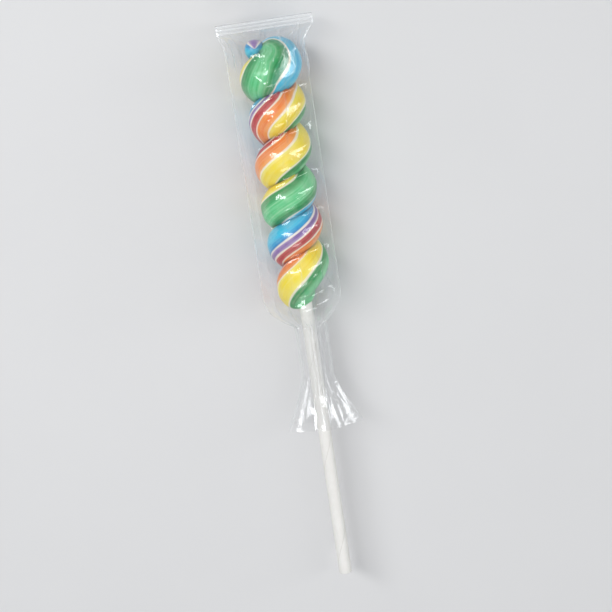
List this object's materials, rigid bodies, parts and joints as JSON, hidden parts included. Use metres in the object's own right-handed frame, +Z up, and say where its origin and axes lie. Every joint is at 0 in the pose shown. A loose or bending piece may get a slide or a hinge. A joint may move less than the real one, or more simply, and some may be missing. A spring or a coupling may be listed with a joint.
{
  "type": "swirl lollipop",
  "caption": "Rainbow-striped rope lollipop on a white paper stick, sealed in a clear film sleeve gathered at the neck, lying on its side.",
  "frame": {"origin": "middle of the box round the lollipop, on the surface it lies on", "axes": "+Y along the stick towards the candy's tip, +Z up, so that the shown side is on top, +X to the right seen from above with the tip away"},
  "size_m": [0.025, 0.1516, 0.0178],
  "materials": {
    "candy": "satin pulled sugar in rainbow stripes with thin cream lines",
    "stick": "matte rolled white paper",
    "wrapper": "thin clear glossy film, creased and wrinkled"
  },
  "bodies": {
    "root": {"candy": "candy", "stick": "stick", "wrapper": "wrapper"}
  },
  "joints": []
}
